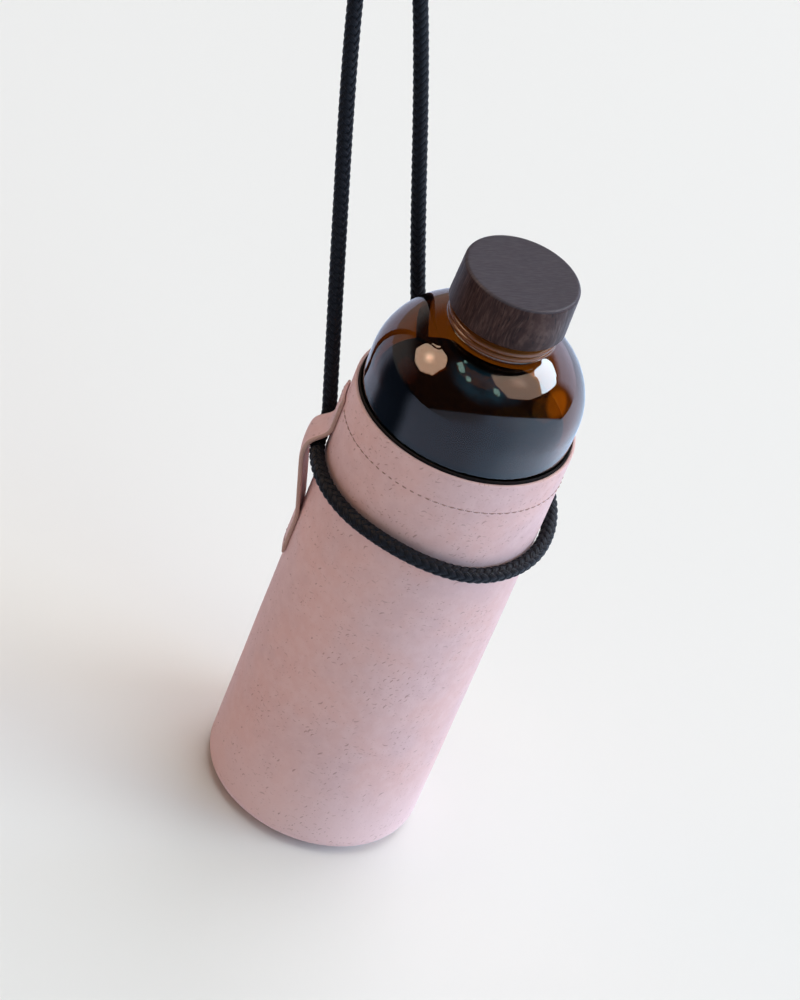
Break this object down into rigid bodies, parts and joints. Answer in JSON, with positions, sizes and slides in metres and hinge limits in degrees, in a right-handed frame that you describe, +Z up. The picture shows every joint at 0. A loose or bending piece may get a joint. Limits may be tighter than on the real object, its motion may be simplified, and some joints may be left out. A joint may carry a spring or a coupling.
{
  "type": "water bottle",
  "caption": "Amber glass water bottle with a wooden screw cap, in a flecked pink sleeve with a strap loop and a braided cord sling.",
  "frame": {"origin": "centre of the sleeve's sole, on the surface that the bottle stands on", "axes": "+Z up along the bottle's axis, towards the cap; -X towards the strap loop that holds the cord; +Y towards the sleeve's back seam"},
  "size_m": [0.1342, 0.0898, 0.3267],
  "materials": {
    "sleeve_sheet": "matte pressed sheet with small dark flecks",
    "pad": "felt",
    "lining": "thin dark woven lining",
    "thread": "sewing thread",
    "amber_glass": "clear amber glass",
    "cap_wood": "dark stained, satin",
    "cap_insert": "moulded",
    "cap_seal": "soft silicone",
    "cord": "tight round braid"
  },
  "bodies": {
    "sleeve": {"sleeve_wall": "sleeve_sheet", "sleeve_sole": "sleeve_sheet", "base_pad": "pad", "sleeve_lining": "lining", "rim_stitching": "thread", "seam_stitching": "thread", "tab": "sleeve_sheet", "tab_stitching": "thread", "sling_strands": "cord", "sling_ring": "cord"},
    "bottle": {"glass_bottle": "amber_glass"},
    "seal": {"cap_seal": "cap_seal"},
    "cap": {"cap_shell": "cap_wood", "cap_insert": "cap_insert"}
  },
  "joints": [
    {"name": "bottle_slide", "type": "slide", "parent": "sleeve", "child": "bottle", "axis": [0, 0, 1], "range_m": [0, 0.18]},
    {"name": "cap_lift", "type": "slide", "parent": "bottle", "child": "seal", "axis": [0, 0, 1], "range_m": [0, 0.0061]},
    {"name": "cap_turn", "type": "hinge", "parent": "seal", "child": "cap", "pos_m": [0, 0, 0.225], "axis": [0, 0, 1], "range_deg": [0, 540]}
  ],
  "couplings": [
    {"joint": "cap_lift", "follows": "cap_turn", "m_per_rad": 0.00063662}
  ]
}
